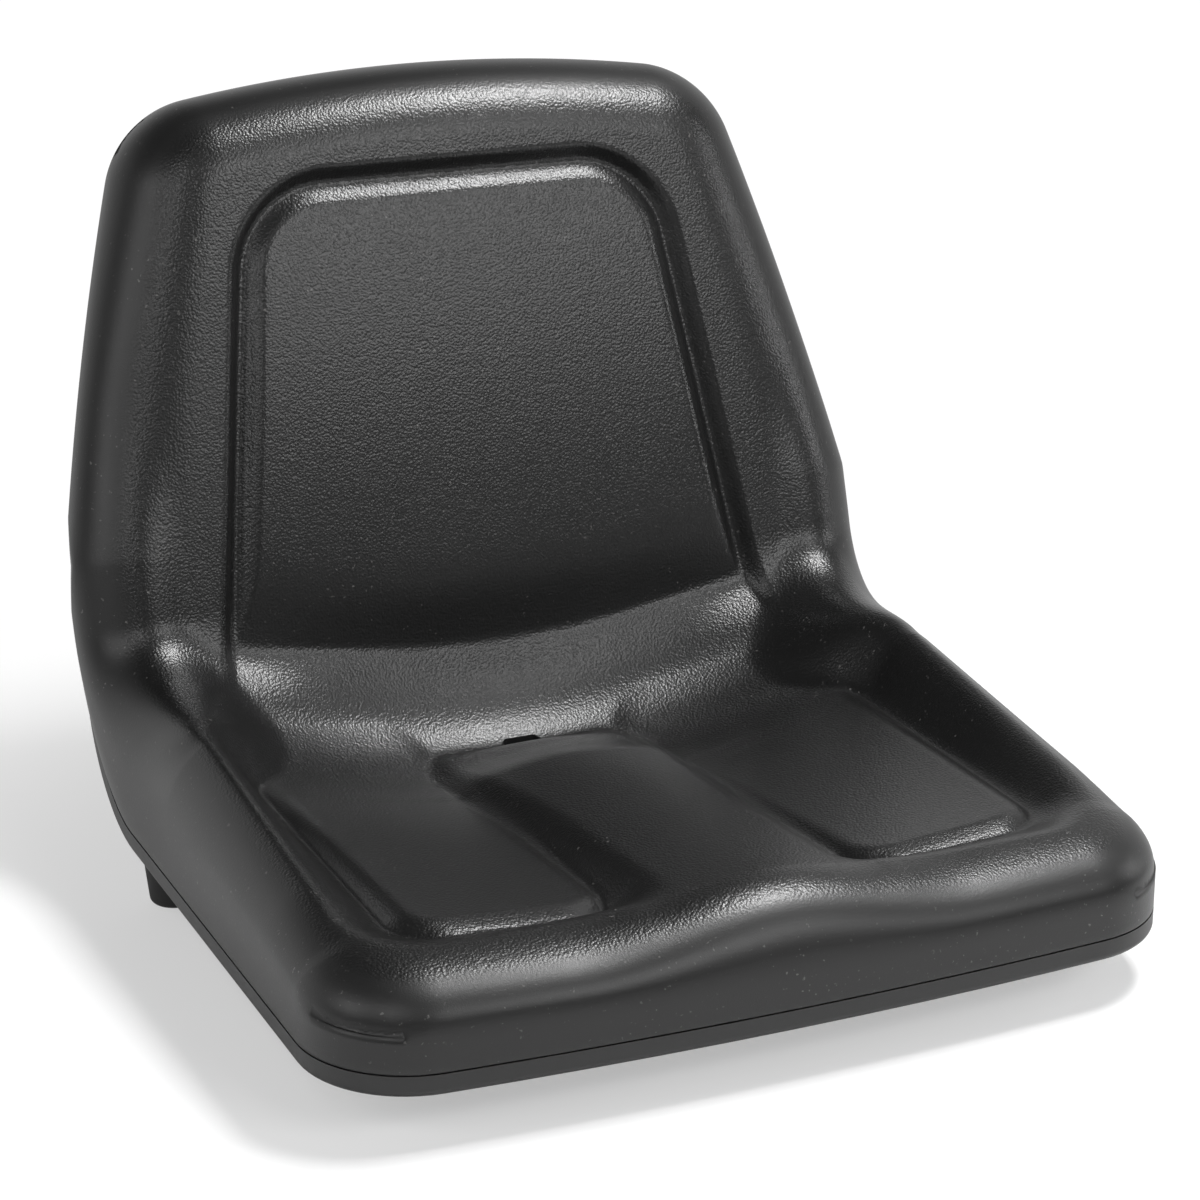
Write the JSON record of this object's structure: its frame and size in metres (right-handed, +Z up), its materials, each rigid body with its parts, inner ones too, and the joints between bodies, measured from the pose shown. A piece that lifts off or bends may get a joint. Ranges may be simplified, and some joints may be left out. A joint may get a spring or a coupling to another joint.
{
  "type": "tractor seat",
  "caption": "High-back garden tractor seat: a moulded foam cushion with thigh pads and a recessed back panel, bonded in a pan that bolts down through threaded inserts.",
  "frame": {"origin": "middle of the bolt pattern, on the faces of the pan's screw bosses", "axes": "+Z up, -Y towards the front of the seat, +X to the sitter's left"},
  "size_m": [0.48, 0.5392, 0.4274],
  "materials": {
    "cushion": "satin grained foam skin",
    "pan": "satin moulded",
    "insert": "machined",
    "foot": "matt"
  },
  "bodies": {
    "root": {"seat_cushion": "cushion", "seat_pan": "pan", "threaded_inserts": "insert", "foot_front_left": "foot", "foot_front_right": "foot", "foot_rear_left": "foot", "foot_rear_right": "foot"}
  },
  "joints": []
}
